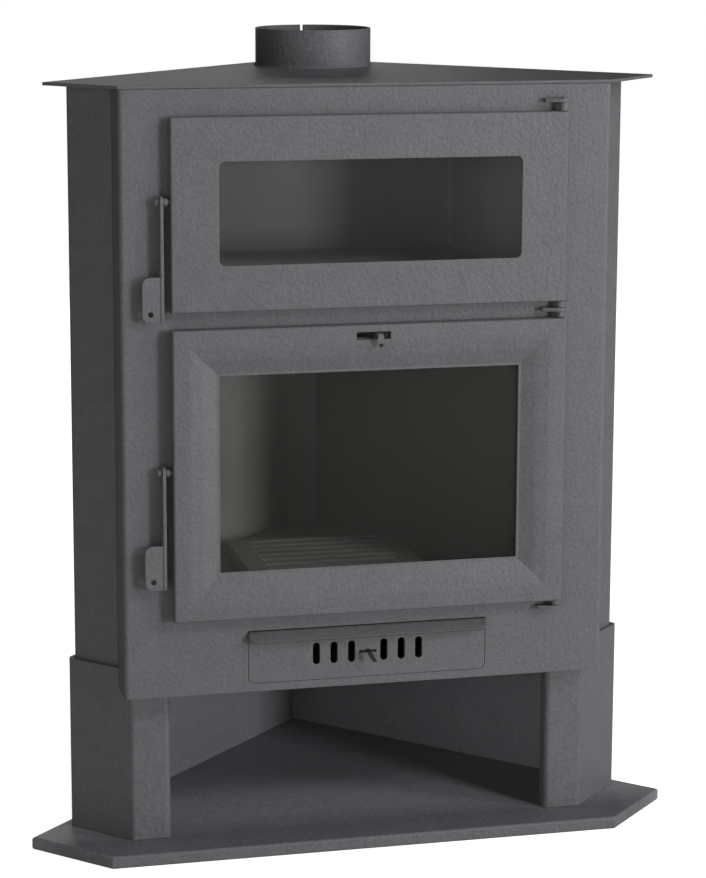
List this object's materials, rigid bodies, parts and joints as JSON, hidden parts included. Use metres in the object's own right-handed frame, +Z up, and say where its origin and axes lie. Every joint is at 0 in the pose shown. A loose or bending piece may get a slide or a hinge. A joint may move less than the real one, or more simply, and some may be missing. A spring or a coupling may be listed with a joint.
{
  "type": "corner wood stove with oven",
  "caption": "Five-sided corner wood stove of sheet steel: glazed oven door over glazed firebox door, ash drawer with air slots, open log store below, flue collar on top.",
  "frame": {"origin": "on the floor, below the middle of the front plate's outer face, where the base plate's bottom flange rests", "axes": "+X to the right as seen from the front, +Y back towards the room's corner, +Z up"},
  "size_m": [0.817, 0.5191, 0.9956],
  "materials": {
    "stove_paint": "matt fine-textured anthracite stove paint",
    "inner_steel": "matt dark heat-resistant paint",
    "cast_iron": "rough dark cast iron",
    "dark_steel": "dark painted steel",
    "fire_glass": "clear heat-resistant glass ceramic",
    "glass_rope": "dark glass-fibre rope and tape"
  },
  "bodies": {
    "stove_body": {"base_plate": "stove_paint", "log_store_casing": "stove_paint", "body_shell": "stove_paint", "front_plate": "stove_paint", "ash_floor": "stove_paint", "top_plate": "stove_paint", "flue_collar": "stove_paint", "hinge_bracket_bottom": "stove_paint", "hinge_bracket_middle": "stove_paint", "hinge_bracket_top": "stove_paint", "hinge_pin_bottom": "stove_paint", "hinge_pin_middle": "stove_paint", "hinge_pin_top": "stove_paint", "hearth_ledge_left": "inner_steel", "hearth_ledge_right": "inner_steel", "oven_box": "inner_steel", "hearth_slab": "cast_iron", "fire_grate": "cast_iron", "liner_left": "cast_iron", "liner_right": "cast_iron", "liner_back": "cast_iron", "baffle_plate": "cast_iron", "drawer_runner_left": "dark_steel", "drawer_runner_right": "dark_steel"},
    "oven_door": {"oven_door_skin": "stove_paint", "oven_door_glass": "fire_glass", "oven_glass_tape": "glass_rope", "oven_door_rear_frame": "dark_steel", "oven_door_rope": "glass_rope", "oven_glass_clip_1": "dark_steel", "oven_glass_clip_2": "dark_steel", "oven_glass_clip_3": "dark_steel", "oven_glass_clip_4": "dark_steel"},
    "fire_door": {"fire_door_skin": "stove_paint", "fire_door_glass": "fire_glass", "fire_glass_tape": "glass_rope", "fire_door_rear_frame": "dark_steel", "fire_door_rope": "glass_rope", "fire_glass_clip_1": "dark_steel", "fire_glass_clip_2": "dark_steel", "fire_glass_clip_3": "dark_steel", "fire_glass_clip_4": "dark_steel"},
    "oven_lever": {"oven_handle": "stove_paint", "oven_latch_pin": "stove_paint"},
    "fire_lever": {"fire_handle": "stove_paint", "fire_latch_pin": "stove_paint"},
    "second_air": {"second_air_slide": "stove_paint"},
    "ash_drawer": {"ash_drawer_front": "stove_paint", "ash_drawer_tray": "dark_steel", "slide_guide_upper": "dark_steel", "slide_guide_lower": "dark_steel"},
    "primary_air": {"primary_air_slide": "dark_steel"}
  },
  "joints": [
    {"name": "oven_door_hinge", "type": "hinge", "parent": "stove_body", "child": "oven_door", "pos_m": [0.2364, -0.0095, 0.7955], "axis": [0, 0, 1], "range_deg": [0, 110]},
    {"name": "fire_door_hinge", "type": "hinge", "parent": "stove_body", "child": "fire_door", "pos_m": [0.2364, -0.0095, 0.4815], "axis": [0, 0, 1], "range_deg": [0, 110]},
    {"name": "oven_handle_pivot", "type": "hinge", "parent": "oven_door", "child": "oven_lever", "pos_m": [-0.242, -0.00775, 0.812], "axis": [-1, 0, 0], "range_deg": [0, 90]},
    {"name": "fire_handle_pivot", "type": "hinge", "parent": "fire_door", "child": "fire_lever", "pos_m": [-0.242, -0.00975, 0.4885], "axis": [-1, 0, 0], "range_deg": [0, 90]},
    {"name": "second_air_travel", "type": "slide", "parent": "fire_door", "child": "second_air", "axis": [1, 0, 0], "range_m": [-0.022, 0.009]},
    {"name": "ash_drawer_travel", "type": "slide", "parent": "stove_body", "child": "ash_drawer", "axis": [0, -1, 0], "range_m": [0, 0.18]},
    {"name": "primary_air_travel", "type": "slide", "parent": "ash_drawer", "child": "primary_air", "axis": [1, 0, 0], "range_m": [-0.008, 0.008]}
  ]
}
